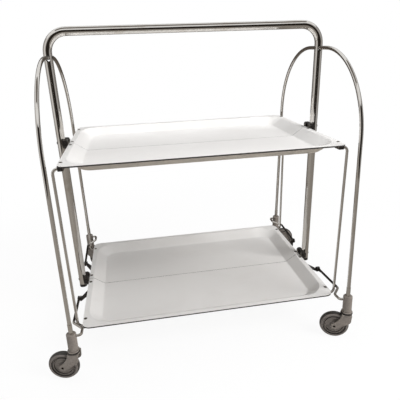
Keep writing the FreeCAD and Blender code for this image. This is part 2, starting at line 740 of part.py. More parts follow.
def build():
    os.makedirs("parts", exist_ok=True)
    save("handle_frame", handle_frame())
    save("upright_end_plugs", both_ends(upright_end_plug(), 1))
    save("leg_pivot_pins", both_ends(leg_pivot_pin(), 1))
    rims = (("upper", upper_rim_height), ("lower", lower_rim_height))
    rivets = [mirrored(bracket_rivet(rim_z), x_side, 1) for _, rim_z in rims for x_side in (1, -1)]
    save("bracket_rivets", Part.makeCompound(rivets))
    for level, rim_z in rims:
        save(level + "_hinge_brackets", both_ends(hinge_bracket(rim_z), 1))
        pins = [mirrored(hinge_pin(rim_z), x_side, y_side) for x_side in (1, -1) for y_side in (1, -1)]
        save(level + "_hinge_pins", Part.makeCompound(pins))
        half = tray_half(rim_z)
        block = corner_block(rim_z)
        end_rivets = tray_rivets(rim_z)
        for half_name, y_side in (("front", -1), ("back", 1)):
            name = level + "_" + half_name
            save(name + "_tray", mirrored(half, 1, y_side))
            save(name + "_corner_blocks", both_ends(block, y_side))
            group = [mirrored(rivet, x_side, y_side) for rivet in end_rivets for x_side in (1, -1)]
            save(name + "_rivets", Part.makeCompound(group))
    for half_name, y_side in (("front", -1), ("back", 1)):
        save("upper_" + half_name + "_hinge_leaves", both_ends(upper_hinge_leaf(), y_side))
        save("lower_" + half_name + "_hinge_arms", both_ends(lower_hinge_arm(), y_side))
        save("lower_" + half_name + "_knee_rivets", both_ends(knee_rivet(), y_side))
    rod = parallel_rod()
    link = leg_link()
    socket = caster_socket()
    fork = swivel_fork()
    collar = bumper_collar()
    axle = wheel_axle()
    wheel = caster_wheel()
    for half_name, y_side in (("front", -1), ("back", 1)):
        leg = leg_tube(y_side)
        for end_name, x_side in (("left", -1), ("right", 1)):
            corner = half_name + "_" + end_name
            save(corner + "_rod", mirrored(rod, x_side, y_side))
            save(corner + "_link", mirrored(link, x_side, y_side))
            save(corner + "_leg", mirrored(leg, x_side, y_side))
            save(corner + "_socket", mirrored(socket, x_side, y_side))
            save(corner + "_fork", placed_caster(fork, x_side, y_side))
            save(corner + "_collar", placed_caster(collar, x_side, y_side))
            save(corner + "_axle", placed_caster(axle, x_side, y_side))
            save(corner + "_wheel", placed_caster(wheel, x_side, y_side))


build()
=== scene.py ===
import json
from math import atan2, cos, radians, sin, tan

import bmesh
import bpy
from mathutils import Matrix, Vector

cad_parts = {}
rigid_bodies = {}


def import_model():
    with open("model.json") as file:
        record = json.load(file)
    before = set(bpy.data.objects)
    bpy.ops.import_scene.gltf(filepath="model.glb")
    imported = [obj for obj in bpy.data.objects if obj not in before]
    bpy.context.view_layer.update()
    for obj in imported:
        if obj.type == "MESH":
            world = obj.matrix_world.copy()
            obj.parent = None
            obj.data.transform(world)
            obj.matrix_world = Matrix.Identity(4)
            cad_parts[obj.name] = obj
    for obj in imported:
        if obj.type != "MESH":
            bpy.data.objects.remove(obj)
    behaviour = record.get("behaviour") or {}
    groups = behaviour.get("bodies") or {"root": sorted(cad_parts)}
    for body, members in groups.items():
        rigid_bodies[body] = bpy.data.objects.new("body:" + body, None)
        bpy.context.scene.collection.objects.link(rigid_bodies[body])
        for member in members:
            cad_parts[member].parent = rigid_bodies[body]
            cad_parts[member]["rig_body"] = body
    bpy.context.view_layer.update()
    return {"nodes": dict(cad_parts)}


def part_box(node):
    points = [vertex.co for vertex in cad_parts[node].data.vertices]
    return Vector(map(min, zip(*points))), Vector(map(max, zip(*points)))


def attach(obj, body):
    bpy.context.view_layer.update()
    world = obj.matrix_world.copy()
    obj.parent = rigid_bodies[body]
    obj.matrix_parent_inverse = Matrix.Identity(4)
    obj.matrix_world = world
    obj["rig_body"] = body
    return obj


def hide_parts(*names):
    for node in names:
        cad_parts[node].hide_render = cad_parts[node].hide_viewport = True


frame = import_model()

bl_info = {
    "name": "Folding serving trolley",
    "version": (1, 0, 0),
    "blender": (4, 5, 0),
    "location": "View3D > Sidebar > Trolley",
    "description": "Dresses the folding serving trolley and sets its studio",
    "category": "Object",
}

# Groups of pieces; each half is given with its side of the middle
HALVES = (("front", -1), ("back", 1))
LEVELS = ("upper", "lower")
CORNERS = ("front_left", "front_right", "back_left", "back_right")
OUTER_CASTERS = ("front_left", "back_right")

# Points nearer than MERGE metres are one, and faces flatter to each other than FLAT_ANGLE are joined
MERGE = 0.00001
FLAT_ANGLE = radians(0.5)

# Edges sharper than these are rounded, with so many faces across
MOULDED_ANGLE = radians(40)
SAWN_ANGLE = radians(60)
EDGE_SEGMENTS = 2
LIP_SEGMENTS = 5
FLOOR_SEGMENTS = 6
ROUND_PROFILE = 0.5

# Edges flatter than these are shaded smooth, on copies of CAD nodes and on modelled pieces
NODE_SMOOTH = radians(35)
MODELLED_SMOOTH = radians(40)

# Half of a wheel's section as (radius, height) in millimetres, from the bore to the edge of the tread
WHEEL_DRAWN_RADIUS = 34.0
WHEEL_FACE = [
    (3.1, 8.2), (3.5, 8.5), (8.2, 8.5), (8.8, 8.1), (9.1, 7.4), (9.4, 5.2), (10.2, 4.5), (11.2, 4.3),
    (18.9, 4.2), (19.8, 4.4), (20.3, 5.1), (20.6, 6.5), (21.0, 7.0), (21.8, 7.0), (22.3, 6.5),
    (22.5, 5.1), (22.9, 4.5), (23.6, 4.3), (25.2, 4.4), (26.0, 4.9), (26.4, 5.8), (26.6, 7.2),
    (27.1, 7.8), (27.9, 8.0), (29.0, 8.0), (30.2, 7.7), (31.6, 6.5), (32.8, 4.7), (33.7, 2.4),
]
# Rings of the wheel, from radius to radius: the tread and the steps of the face take the tyre's colour, where
# the dark on the steps is painted shade; then the ring that takes the disc's colour
WHEEL_TREAD_AND_SHADED_STEPS = ((19.6, 20.7), (22.2, 23.2), (25.0, 26.7), (31.8, 34.1))
# The disc's grey is partly its own and partly painted light, lighter against the shade of the fork and the
# rim
WHEEL_LIGHTENED_DISC_BAND = (10.0, 25.0)

# Depth of the bumps in metres, and the gloss of the coat on moulded pieces
BUMP_DEPTH = 0.0002
COAT_ROUGHNESS = 0.1
# Noise above this level, less the amount, draws a scratch; each direction has its turn and its stretch
SCRATCH_LEVEL = 0.85
SCRATCH_WAYS = (((0.3, 0.2, 0.7), (1, 26, 26)), ((0.5, 0.9, -0.4), (22, 1, 22)))
# Scale of the slow wave as a share of the grain's scale
WAVE_SHARE = 0.06

# Tones of the mirrored room, which glows to paint reflections in the chrome: the share of a turn where each
# stands, and how light it is there
ROOM_FLOOR_TONES = (
    (0.0, 0.36), (0.12, 0.42), (0.26, 0.36), (0.42, 0.30), (0.56, 0.34), (0.70, 0.12), (0.84, 0.16),
    (0.94, 0.40),
)
ROOM_WALL_TONES = (
    (0.0, 0.45), (0.05, 1.0), (0.09, 0.70), (0.12, 0.42), (0.145, 0.03), (0.36, 0.02), (0.39, 0.40),
    (0.48, 0.55), (0.54, 0.14), (0.62, 0.35), (0.70, 0.10), (0.86, 0.10), (0.92, 0.45),
)
ROOM_CEILING_TONES = ((0.0, 0.26), (0.5, 0.20))
# Tones from here up have the light tint, and darker ones go over to the dark tint
ROOM_LIGHT_FROM = 0.35
ROOM_STEPS = 96
# The mirrored floor lies just above the studio's floor, in metres
ROOM_FLOOR_RISE = 0.003

# The floor is white by itself but for a share near the trolley, between two distances, that keeps its shadow
FLOOR_NEAR = 0.4
FLOOR_FAR = 1.3
FLOOR_NEAR_WHITE = 0.93
FLOOR_FAR_WHITE = 1.0

WHITE = (1, 1, 1, 1)
LAMP_TARGET = (0, 0, 0.35)
SENSOR_WIDTH = 36
CLIP_START = 0.01


class TrolleySizes(bpy.types.PropertyGroup):
    """Sizes of the modelled pieces and their paint that the frame doesn't give."""
    sheet: bpy.props.FloatProperty(
        name="Tray sheet", description="Thickness of the pressed tray sheet", default=0.003, unit="LENGTH")
    lip_width: bpy.props.FloatProperty(
        name="Lip width", description="Width of the level lip round a tray", default=0.012, unit="LENGTH")
    slope_run: bpy.props.FloatProperty(
        name="Slope run", description="Level reach of the sloped tray rim", default=0.027, unit="LENGTH")
    lip_corner: bpy.props.FloatProperty(
        name="Lip corner", description="Corner radius of a tray's outer edge", default=0.018, unit="LENGTH")
    floor_corner: bpy.props.FloatProperty(
        name="Floor corner", description="Corner radius of a tray's floor", default=0.026, unit="LENGTH")
    lip_bend: bpy.props.FloatProperty(
        name="Lip bend", description="Bend radius between lip and slope", default=0.005, unit="LENGTH")
    floor_bend: bpy.props.FloatProperty(
        name="Floor bend", description="Bend radius between slope and floor", default=0.008, unit="LENGTH")
    sawn_edge: bpy.props.FloatProperty(
        name="Sheet edge", description="Rounding of the sheet's cut edges", default=0.0004, unit="LENGTH")
    moulded_edge: bpy.props.FloatProperty(
        name="Moulded edge", description="Rounding of moulded and stamped edges", default=0.0005,
        unit="LENGTH")
    hub_width: bpy.props.FloatProperty(
        name="Hub width", description="Width of a wheel over its hub", default=0.017, unit="LENGTH")
    outer_turn: bpy.props.FloatProperty(
        name="Outer casters", description="Rest turn of the casters that trail past the ends",
        default=radians(-12), unit="ROTATION")
    inner_turn: bpy.props.FloatProperty(
        name="Inner casters", description="Rest turn of the casters that trail inwards",
        default=radians(-24), unit="ROTATION")
    # Share of a collar's height above which it takes the socket's grey, a painted highlight on its top ring
    collar_highlight_share: bpy.props.FloatProperty(
        name="Grey of the collar", description="Share of a collar's height above which it is grey",
        default=0.62, min=0, max=1, subtype="FACTOR")
    # The links are black, not chrome, from the middle out to this distance
    dark_link: bpy.props.FloatProperty(
        name="Dark link", description="How far out from the middle the links are painted", default=0.193,
        unit="LENGTH")
    # How far the links' black thins out to each side of its end
    black_fade: bpy.props.FloatProperty(
        name="Paint fade", description="How far the links' paint thins out to each side of its end",
        default=0.004, unit="LENGTH")
    corner_steps: bpy.props.IntProperty(
        name="Corner steps", description="Faces round each tray corner", default=14, min=4)
    wheel_steps: bpy.props.IntProperty(
        name="Wheel steps", description="Faces round a wheel", default=96, min=24)


class TrolleyColours(bpy.types.PropertyGroup):
    """Colours of the finishes."""
    chrome: bpy.props.FloatVectorProperty(
        name="Chrome", description="Bright plated tube", subtype="COLOR", size=4,
        default=(0.66, 0.64, 0.61, 1))
    tarnish: bpy.props.FloatVectorProperty(
        name="Tarnish", description="Dull patches in the plating", subtype="COLOR", size=4,
        default=(0.52, 0.48, 0.43, 1))
    tray_face: bpy.props.FloatVectorProperty(
        name="Tray face", description="White face of the trays", subtype="COLOR", size=4,
        default=(0.80, 0.788, 0.775, 1))
    tray_rubbed: bpy.props.FloatVectorProperty(
        name="Rubbed tray face", description="Worn parts of the white face", subtype="COLOR", size=4,
        default=(0.77, 0.755, 0.74, 1))
    tray_back: bpy.props.FloatVectorProperty(
        name="Tray back", description="Underside of the trays", subtype="COLOR", size=4,
        default=(0.36, 0.32, 0.27, 1))
    tray_core: bpy.props.FloatVectorProperty(
        name="Tray core", description="Dark core at the sheet's edge", subtype="COLOR", size=4,
        default=(0.028, 0.024, 0.022, 1))
    # The grey moulding also gives the painted highlight on the top ring of each collar
    moulding: bpy.props.FloatVectorProperty(
        name="Grey moulding", description="Sockets and forks of the casters, and rings on their collars",
        subtype="COLOR", size=4, default=(0.225, 0.196, 0.172, 1))
    wheel: bpy.props.FloatVectorProperty(
        name="Wheel", description="Rims and hubs of the wheels", subtype="COLOR", size=4,
        default=(0.150, 0.132, 0.120, 1))
    # Partly the disc's own grey and partly painted light against the shade of the fork and the rim
    disc: bpy.props.FloatVectorProperty(
        name="Wheel disc", description="Discs of the wheels inside their rims", subtype="COLOR", size=4,
        default=(0.185, 0.162, 0.143, 1))
    # On the treads this dark is the tyre's own; on the steps of the wheels' faces it is painted shade
    tyre: bpy.props.FloatVectorProperty(
        name="Tyre", description="Treads of the wheels and the steps in their faces", subtype="COLOR", size=4,
        default=(0.034, 0.030, 0.027, 1))
    black: bpy.props.FloatVectorProperty(
        name="Black", description="Painted hinge parts and links, and plastic blocks", subtype="COLOR",
        size=4, default=(0.014, 0.011, 0.0095, 1))
    rivet: bpy.props.FloatVectorProperty(
        name="Rivet", description="Dark rivets, pins and axles", subtype="COLOR", size=4,
        default=(0.10, 0.088, 0.072, 1))


class TrolleyStudio(bpy.types.PropertyGroup):
    """The camera, the floor, the light and the glowing room of painted reflections that the chrome mirrors.
    """
    camera_place: bpy.props.FloatVectorProperty(
        name="Camera", description="Where the camera stands", subtype="XYZ", unit="LENGTH", size=3,
        default=(-0.14855, -0.98660, 0.67405))
    camera_yaw: bpy.props.FloatProperty(
        name="Yaw", description="Turn to the right of straight ahead", default=radians(9.191),
        unit="ROTATION")
    camera_pitch: bpy.props.FloatProperty(
        name="Pitch", description="Tilt below the horizon", default=radians(20.784), unit="ROTATION")
    camera_roll: bpy.props.FloatProperty(
        name="Roll", description="Lean of the camera", default=radians(-2.018), unit="ROTATION")
    focal: bpy.props.FloatProperty(
        name="Focal length", description="Focal length on a 36 mm sensor, in millimetres", default=36.513)
    floor_size: bpy.props.FloatProperty(
        name="Floor", description="Length and width of the floor", default=14.0, unit="LENGTH")
    floor_tone: bpy.props.FloatVectorProperty(
        name="Floor tone", description="Colour of the floor where light falls on it", subtype="COLOR", size=4,
        default=(0.9, 0.9, 0.9, 1))
    sky: bpy.props.FloatProperty(
        name="Sky", description="Strength of the even light from all round", default=0.40)
    key: bpy.props.FloatProperty(
        name="Key", description="Main lamp", default=44.0, subtype="POWER", unit="POWER")
    key_place: bpy.props.FloatVectorProperty(
        name="Key place", description="Where the main lamp hangs", subtype="XYZ", unit="LENGTH", size=3,
        default=(1.5, -1.2, 1.6))
    key_size: bpy.props.FloatProperty(
        name="Key size", description="Side of the main lamp", default=1.0, unit="LENGTH")
    fill: bpy.props.FloatProperty(
        name="Fill", description="Overhead lamp", default=16.5, subtype="POWER", unit="POWER")
    fill_place: bpy.props.FloatVectorProperty(
        name="Fill place", description="Where the overhead lamp hangs", subtype="XYZ", unit="LENGTH", size=3,
        default=(-0.2, 0.1, 2.3))
    fill_size: bpy.props.FloatProperty(
        name="Fill size", description="Side of the overhead lamp", default=0.9, unit="LENGTH")
    room: bpy.props.FloatVectorProperty(
        name="Room", description="Tint of the room that the chrome mirrors", subtype="COLOR", size=4,
        default=(1.0, 0.97, 0.94, 1))
    room_floor: bpy.props.FloatVectorProperty(
        name="Floor of the room", description="Tint of the floor that the chrome mirrors", subtype="COLOR",
        size=4, default=(1.0, 0.93, 0.85, 1))
    room_dark: bpy.props.FloatVectorProperty(
        name="Dark of the room", description="Tint of the room's dark places", subtype="COLOR", size=4,
        default=(1.0, 0.80, 0.64, 1))
    room_reach: bpy.props.FloatProperty(
        name="Room reach", description="Radius of the mirrored wall", default=1.6, unit="LENGTH")
    room_height: bpy.props.FloatProperty(
        name="Room height", description="Height of the mirrored wall", default=1.4, unit="LENGTH")
    room_foot: bpy.props.FloatProperty(
        name="Room foot", description="Where the mirrored wall begins above the floor", default=0.12,
        unit="LENGTH")
    room_floor_reach: bpy.props.FloatProperty(
        name="Room floor reach", description="Radius of the mirrored floor", default=5.0, unit="LENGTH")
    ceiling_place: bpy.props.FloatVectorProperty(
        name="Ceiling place", description="Middle of the mirrored ceiling", subtype="XYZ", unit="LENGTH",
        size=3, default=(0, -0.3, 2.2))
    ceiling_size: bpy.props.FloatVectorProperty(
        name="Ceiling size", description="Length and width of the mirrored ceiling", subtype="XYZ", size=3,
        default=(2.4, 1.2, 1))


def sizes():
    return bpy.context.scene.trolley_sizes


def colours():
    return bpy.context.scene.trolley_colours


def studio_values():
    return bpy.context.scene.trolley_studio


def deselect():
    """Nothing selected, in object mode."""
    if bpy.context.object and bpy.context.object.mode != "OBJECT":
        bpy.ops.object.mode_set(mode="OBJECT")
    bpy.ops.object.select_all(action="DESELECT")


def choose(piece):
    """One piece selected and active."""
    deselect()
    piece.select_set(True)
    bpy.context.view_layer.objects.active = piece


def edit(piece):
    choose(piece)
    bpy.ops.object.mode_set(mode="EDIT")
    bpy.ops.mesh.select_mode(type="VERT")


def end_edit():
    bpy.ops.object.mode_set(mode="OBJECT")


def blank(name):
    """An empty mesh object at the origin, in edit mode."""
    deselect()
    bpy.ops.mesh.primitive_plane_add(size=1, location=(0, 0, 0))
    piece = bpy.context.object
    piece.name = name
    piece.data.name = name
    edit(piece)
    bpy.ops.mesh.select_all(action="SELECT")
    bpy.ops.mesh.delete(type="VERT")
    return piece


def pick_edges(piece, test):
    """Selects the edges of the edited piece whose two ends pass a test."""
    bpy.ops.mesh.select_all(action="DESELECT")
    bpy.ops.mesh.select_mode(type="EDGE")
    work = bmesh.from_edit_mesh(piece.data)
    for edge in work.edges:
        edge.select_set(all(test(v.co) for v in edge.verts))
    bmesh.update_edit_mesh(piece.data)


def add_modifier(piece, kind, **values):
    """Adds a modifier, sets it and applies it."""
    choose(piece)
    bpy.ops.object.modifier_add(type=kind)
    modifier = piece.modifiers[-1]
    for key, value in values.items():
        setattr(modifier, key, value)
    bpy.ops.object.modifier_apply(modifier=modifier.name)


def smooth(piece, angle):
    """Smooth across the curves, with the flat faces kept flat beside them."""
    choose(piece)
    bpy.ops.object.shade_smooth_by_angle(angle=angle)
    add_modifier(piece, "WEIGHTED_NORMAL", keep_sharp=True)


def own_copy(piece, name):
    """A copy of a piece with a mesh of its own."""
    copy = bpy.data.objects.new(name, piece.data.copy())
    bpy.context.scene.collection.objects.link(copy)
    copy.data.name = name
    return copy


def paint(piece, *materials):
    """Gives a piece these materials alone; every face takes the first."""
    piece.data.materials.clear()
    for material in materials:
        piece.data.materials.append(material)


def settle(piece, body, slot, *nodes):
    """A finished piece rides on its body and stands for its nodes; its slot is not used."""
    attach(piece, body)
    if nodes:
        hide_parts(*nodes)


def body_of_node(node):
    return frame["nodes"][node]["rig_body"]


def finished(node, slot, material, edge=0.0):
    """A cleaned copy of a CAD node: merged, flat faces joined, edges rounded, smooth across its curves."""
    piece = own_copy(frame["nodes"][node], node + "_finished")
    edit(piece)
    bpy.ops.mesh.select_all(action="SELECT")
    bpy.ops.mesh.remove_doubles(threshold=MERGE)
    bpy.ops.mesh.dissolve_limited(angle_limit=FLAT_ANGLE)
    end_edit()
    choose(piece)
    if piece.data.has_custom_normals:
        bpy.ops.mesh.customdata_custom_splitnormals_clear()
    if edge:
        add_modifier(piece, "BEVEL", width=edge, segments=EDGE_SEGMENTS, limit_method="ANGLE",
                     angle_limit=MOULDED_ANGLE, use_clamp_overlap=True)
    smooth(piece, NODE_SMOOTH)
    paint(piece, material)
    settle(piece, body_of_node(node), slot, node)
    return piece


def turned(name, profile, steps):
    """A ring-shaped piece about Z, drawn out ring by ring from (radius, height) points."""
    piece = blank(name)
    first_r, first_h = profile[0]
    bpy.ops.mesh.primitive_circle_add(vertices=steps, radius=first_r, location=(0, 0, first_h))
    for (r0, h0), (r1, h1) in zip(profile, profile[1:] + profile[:1]):
        bpy.ops.mesh.extrude_region_move(TRANSFORM_OT_translate={"value": (0, 0, h1 - h0)})
        bpy.ops.transform.resize(value=(r1 / r0, r1 / r0, 1), center_override=(0, 0, h1))
    bpy.ops.mesh.select_all(action="SELECT")
    bpy.ops.mesh.remove_doubles(threshold=MERGE)
    bpy.ops.mesh.normals_make_consistent(inside=False)
    end_edit()
    return piece


def place(piece, turn, move):
    """Turns and moves a piece, and puts its place into its mesh."""
    choose(piece)
    piece.rotation_euler = turn
    piece.location = move
    bpy.ops.object.transform_apply(location=True, rotation=True, scale=True)


class Nodes:
    """Small helper that adds and links the nodes of one tree."""

    def __init__(self, tree):
        self.tree = tree

    def add(self, kind, **values):
        node = self.tree.nodes.new(kind)
        for key, value in values.items():
            setattr(node, key, value)
        return node

    def link(self, source, target):
        self.tree.links.new(source, target)

    def put(self, node, **values):
        """Sets sockets by name, with _ for each space."""
        for key, value in values.items():
            node.inputs[key.replace("_", " ")].default_value = value


def new_group(name, ins, outs):
    """Empty shader group with named sockets; gives its nodes, its input node and its output node."""
    tree = bpy.data.node_groups.new(name, "ShaderNodeTree")
    for label, kind, default in ins:
        socket = tree.interface.new_socket(name=label, in_out="INPUT", socket_type=kind)
        socket.default_value = default
    for label, kind in outs:
        tree.interface.new_socket(name=label, in_out="OUTPUT", socket_type=kind)
    nodes = Nodes(tree)
    return nodes, nodes.add("NodeGroupInput"), nodes.add("NodeGroupOutput")


def patches_group():
    """Two tones that drift into each other over the surface, and the mask between them."""
    nodes, given, out = new_group(
        "surface_patches",
        [("First Tone", "NodeSocketColor", WHITE),
         ("Second Tone", "NodeSocketColor", (0.5, 0.5, 0.5, 1)),
         ("Scale", "NodeSocketFloat", 10.0),
         ("From", "NodeSocketFloat", 0.4),
         ("To", "NodeSocketFloat", 0.7)],
        [("Tone", "NodeSocketColor"), ("Mask", "NodeSocketFloat")])
    place_in = nodes.add("ShaderNodeTexCoord")
    noise = nodes.add("ShaderNodeTexNoise")
    nodes.put(noise, Detail=5.0, Roughness=0.6, Distortion=0.4)
    span = nodes.add("ShaderNodeMapRange", interpolation_type="SMOOTHSTEP")
    mix = nodes.add("ShaderNodeMix", data_type="RGBA")
    nodes.link(place_in.outputs["Object"], noise.inputs["Vector"])
    nodes.link(given.outputs["Scale"], noise.inputs["Scale"])
    nodes.link(noise.outputs["Fac"], span.inputs["Value"])
    nodes.link(given.outputs["From"], span.inputs["From Min"])
    nodes.link(given.outputs["To"], span.inputs["From Max"])
    nodes.link(span.outputs["Result"], mix.inputs["Factor"])
    nodes.link(given.outputs["First Tone"], mix.inputs["A"])
    nodes.link(given.outputs["Second Tone"], mix.inputs["B"])
    nodes.link(mix.outputs["Result"], out.inputs["Tone"])
    nodes.link(span.outputs["Result"], out.inputs["Mask"])
    return nodes.tree


def scratches_group():
    """Thin marks from use, drawn as long streaks in two directions."""
    nodes, given, out = new_group(
        "hair_scratches",
        [("Scale", "NodeSocketFloat", 40.0), ("Amount", "NodeSocketFloat", 0.1)],
        [("Mask", "NodeSocketFloat")])
    place_in = nodes.add("ShaderNodeTexCoord")
    limit = nodes.add("ShaderNodeMath", operation="SUBTRACT")
    limit.inputs[0].default_value = SCRATCH_LEVEL
    nodes.link(given.outputs["Amount"], limit.inputs[1])
    streaks = []
    for angles, stretch in SCRATCH_WAYS:
        mapping = nodes.add("ShaderNodeMapping")
        nodes.put(mapping, Rotation=angles, Scale=stretch)
        noise = nodes.add("ShaderNodeTexNoise")
        nodes.put(noise, Detail=2.0, Roughness=0.5)
        above = nodes.add("ShaderNodeMapRange", interpolation_type="SMOOTHSTEP")
        nodes.put(above, From_Max=1.0)
        nodes.link(place_in.outputs["Object"], mapping.inputs["Vector"])
        nodes.link(mapping.outputs["Vector"], noise.inputs["Vector"])
        nodes.link(given.outputs["Scale"], noise.inputs["Scale"])
        nodes.link(noise.outputs["Fac"], above.inputs["Value"])
        nodes.link(limit.outputs["Value"], above.inputs["From Min"])
        streaks.append(above)
    both = nodes.add("ShaderNodeMath", operation="MAXIMUM")
    for socket, streak in zip(both.inputs, streaks):
        nodes.link(streak.outputs["Result"], socket)
    nodes.link(both.outputs["Value"], out.inputs["Mask"])
    return nodes.tree


def grain_group():
    """Fine unevenness for bumps: a close grain over a slow wave."""
    nodes, given, out = new_group(
        "surface_grain",
        [("Scale", "NodeSocketFloat", 400.0), ("Wave", "NodeSocketFloat", 0.3)],
        [("Height", "NodeSocketFloat")])
    place_in = nodes.add("ShaderNodeTexCoord")
    fine = nodes.add("ShaderNodeTexNoise")
    nodes.put(fine, Detail=3.0, Roughness=0.55)
    slow_scale = nodes.add("ShaderNodeMath", operation="MULTIPLY")
    slow_scale.inputs[1].default_value = WAVE_SHARE
    slow = nodes.add("ShaderNodeTexNoise")
    nodes.put(slow, Detail=2.0)
    weighed = nodes.add("ShaderNodeMath", operation="MULTIPLY")
    total = nodes.add("ShaderNodeMath", operation="ADD")
    nodes.link(place_in.outputs["Object"], fine.inputs["Vector"])
    nodes.link(place_in.outputs["Object"], slow.inputs["Vector"])
    nodes.link(given.outputs["Scale"], fine.inputs["Scale"])
    nodes.link(given.outputs["Scale"], slow_scale.inputs[0])
    nodes.link(slow_scale.outputs["Value"], slow.inputs["Scale"])
    nodes.link(slow.outputs["Fac"], weighed.inputs[0])
    nodes.link(given.outputs["Wave"], weighed.inputs[1])
    nodes.link(fine.outputs["Fac"], total.inputs[0])
    nodes.link(weighed.outputs["Value"], total.inputs[1])
    nodes.link(total.outputs["Value"], out.inputs["Height"])
    return nodes.tree


def group_named(name, maker):
    return bpy.data.node_groups.get(name) or maker()


def toned(colour, factor):
    """A lighter or darker tone of a colour."""
    return [v * factor for v in colour[:3]] + [1]


def finish_material(name, first, second, scale, span, rough, grain, scratch, bump, metallic=0.0, coat=0.0):
    """A worn finish: drifting tone and gloss, a fine grain and hair scratches.

    scale is that of the drift between the tones, span where one tone turns into the other, rough the gloss of
    both tones, grain the grain's scale and wave, scratch the scratches' scale, amount and darkening.
    """
    if name in bpy.data.materials:
        return bpy.data.materials[name]
    material = bpy.data.materials.new(name)
    material.use_nodes = True
    nodes = Nodes(material.node_tree)
    shader = material.node_tree.nodes["Principled BSDF"]
    nodes.put(shader, Metallic=metallic, Coat_Weight=coat, Coat_Roughness=COAT_ROUGHNESS)
    patches = nodes.add("ShaderNodeGroup", node_tree=group_named("surface_patches", patches_group))
    nodes.put(patches, First_Tone=first, Second_Tone=second, Scale=scale, From=span[0], To=span[1])
    marks = nodes.add("ShaderNodeGroup", node_tree=group_named("hair_scratches", scratches_group))
    scratch_scale, amount, darkening = scratch
    nodes.put(marks, Scale=scratch_scale, Amount=amount)
    darkened = nodes.add("ShaderNodeMix", data_type="RGBA", blend_type="MULTIPLY")
    darkened.inputs["B"].default_value = (darkening, darkening, darkening, 1)
    nodes.link(marks.outputs["Mask"], darkened.inputs["Factor"])
    nodes.link(patches.outputs["Tone"], darkened.inputs["A"])
    nodes.link(darkened.outputs["Result"], shader.inputs["Base Color"])
    gloss = nodes.add("ShaderNodeMapRange")
    nodes.put(gloss, To_Min=rough[0], To_Max=rough[1])
    nodes.link(patches.outputs["Mask"], gloss.inputs["Value"])
    nodes.link(gloss.outputs["Result"], shader.inputs["Roughness"])
    fine = nodes.add("ShaderNodeGroup", node_tree=group_named("surface_grain", grain_group))
    nodes.put(fine, Scale=grain[0], Wave=grain[1])
    height = nodes.add("ShaderNodeMath", operation="SUBTRACT")
    nodes.link(fine.outputs["Height"], height.inputs[0])
    nodes.link(marks.outputs["Mask"], height.inputs[1])
    relief = nodes.add("ShaderNodeBump")
    nodes.put(relief, Strength=bump, Distance=BUMP_DEPTH)
    nodes.link(height.outputs["Value"], relief.inputs["Height"])
    nodes.link(relief.outputs["Normal"], shader.inputs["Normal"])
    return material


def chrome():
    c = colours()
    return finish_material(
        "worn_chrome", c.chrome, c.tarnish, scale=20.0, span=(0.46, 0.80), rough=(0.06, 0.14),
        grain=(900.0, 0.4), scratch=(60.0, 0.10, 0.8), bump=0.005, metallic=1.0)


def link_finish():
    """Worn chrome that is black from the knee out to where the dark part of a link ends."""
    if "half_black_chrome" in bpy.data.materials:
        return bpy.data.materials["half_black_chrome"]
    s = sizes()
    material = chrome().copy()
    material.name = "half_black_chrome"
    nodes = Nodes(material.node_tree)
    shader = material.node_tree.nodes["Principled BSDF"]
    place_in = nodes.add("ShaderNodeTexCoord")
    parts = nodes.add("ShaderNodeSeparateXYZ")
    outward = nodes.add("ShaderNodeMath", operation="ABSOLUTE")
    bare = nodes.add("ShaderNodeMapRange", interpolation_type="SMOOTHSTEP")
    nodes.put(bare, From_Min=s.dark_link - s.black_fade, From_Max=s.dark_link + s.black_fade)
    nodes.link(place_in.outputs["Object"], parts.inputs["Vector"])
    nodes.link(parts.outputs["Y"], outward.inputs[0])
    nodes.link(outward.outputs["Value"], bare.inputs["Value"])
    tone = nodes.add("ShaderNodeMix", data_type="RGBA")
    tone.inputs["A"].default_value = colours().black
    plated = shader.inputs["Base Color"].links[0].from_socket
    nodes.link(bare.outputs["Result"], tone.inputs["Factor"])
    nodes.link(plated, tone.inputs["B"])
    nodes.link(tone.outputs["Result"], shader.inputs["Base Color"])
    nodes.link(bare.outputs["Result"], shader.inputs["Metallic"])
    return material


def tray_face():
    c = colours()
    return finish_material(
        "white_laminate", c.tray_face, c.tray_rubbed, scale=7.0, span=(0.42, 0.72), rough=(0.30, 0.40),
        grain=(700.0, 0.5), scratch=(9.0, 0.10, 0.9), bump=0.05)


def tray_back():
    colour = colours().tray_back
    return finish_material(
        "laminate_back", colour, toned(colour, 1.18), scale=22.0, span=(0.35, 0.65), rough=(0.45, 0.6),
        grain=(350.0, 0.8), scratch=(18.0, 0.16, 0.8), bump=0.2)


def tray_core():
    colour = colours().tray_core
    return finish_material(
        "laminate_core", colour, toned(colour, 1.9), scale=120.0, span=(0.4, 0.7), rough=(0.4, 0.6),
        grain=(1500.0, 0.3), scratch=(200.0, 0.1, 0.7), bump=0.2)


def moulding():
    colour = colours().moulding
    return finish_material(
        "grey_moulding", colour, toned(colour, 0.78), scale=55.0, span=(0.42, 0.75), rough=(0.24, 0.36),
        grain=(1100.0, 0.6), scratch=(70.0, 0.14, 0.75), bump=0.12, coat=0.7)


def wheel_moulding(name, colour, factor):
    """Dusty plastic of the wheels, with a second tone that is lighter or darker by a factor."""
    return finish_material(
        name, colour, toned(colour, factor), scale=48.0, span=(0.45, 0.7), rough=(0.26, 0.42),
        grain=(900.0, 0.7), scratch=(80.0, 0.2, 0.7), bump=0.18)


def wheel_finish():
    return wheel_moulding("wheel_moulding", colours().wheel, 1.35)


# A lighter copy of the wheel's moulding: the disc's own grey with painted light on it
def lightened_disc_finish():
    return wheel_moulding("wheel_disc_painted_light", colours().disc, 0.75)


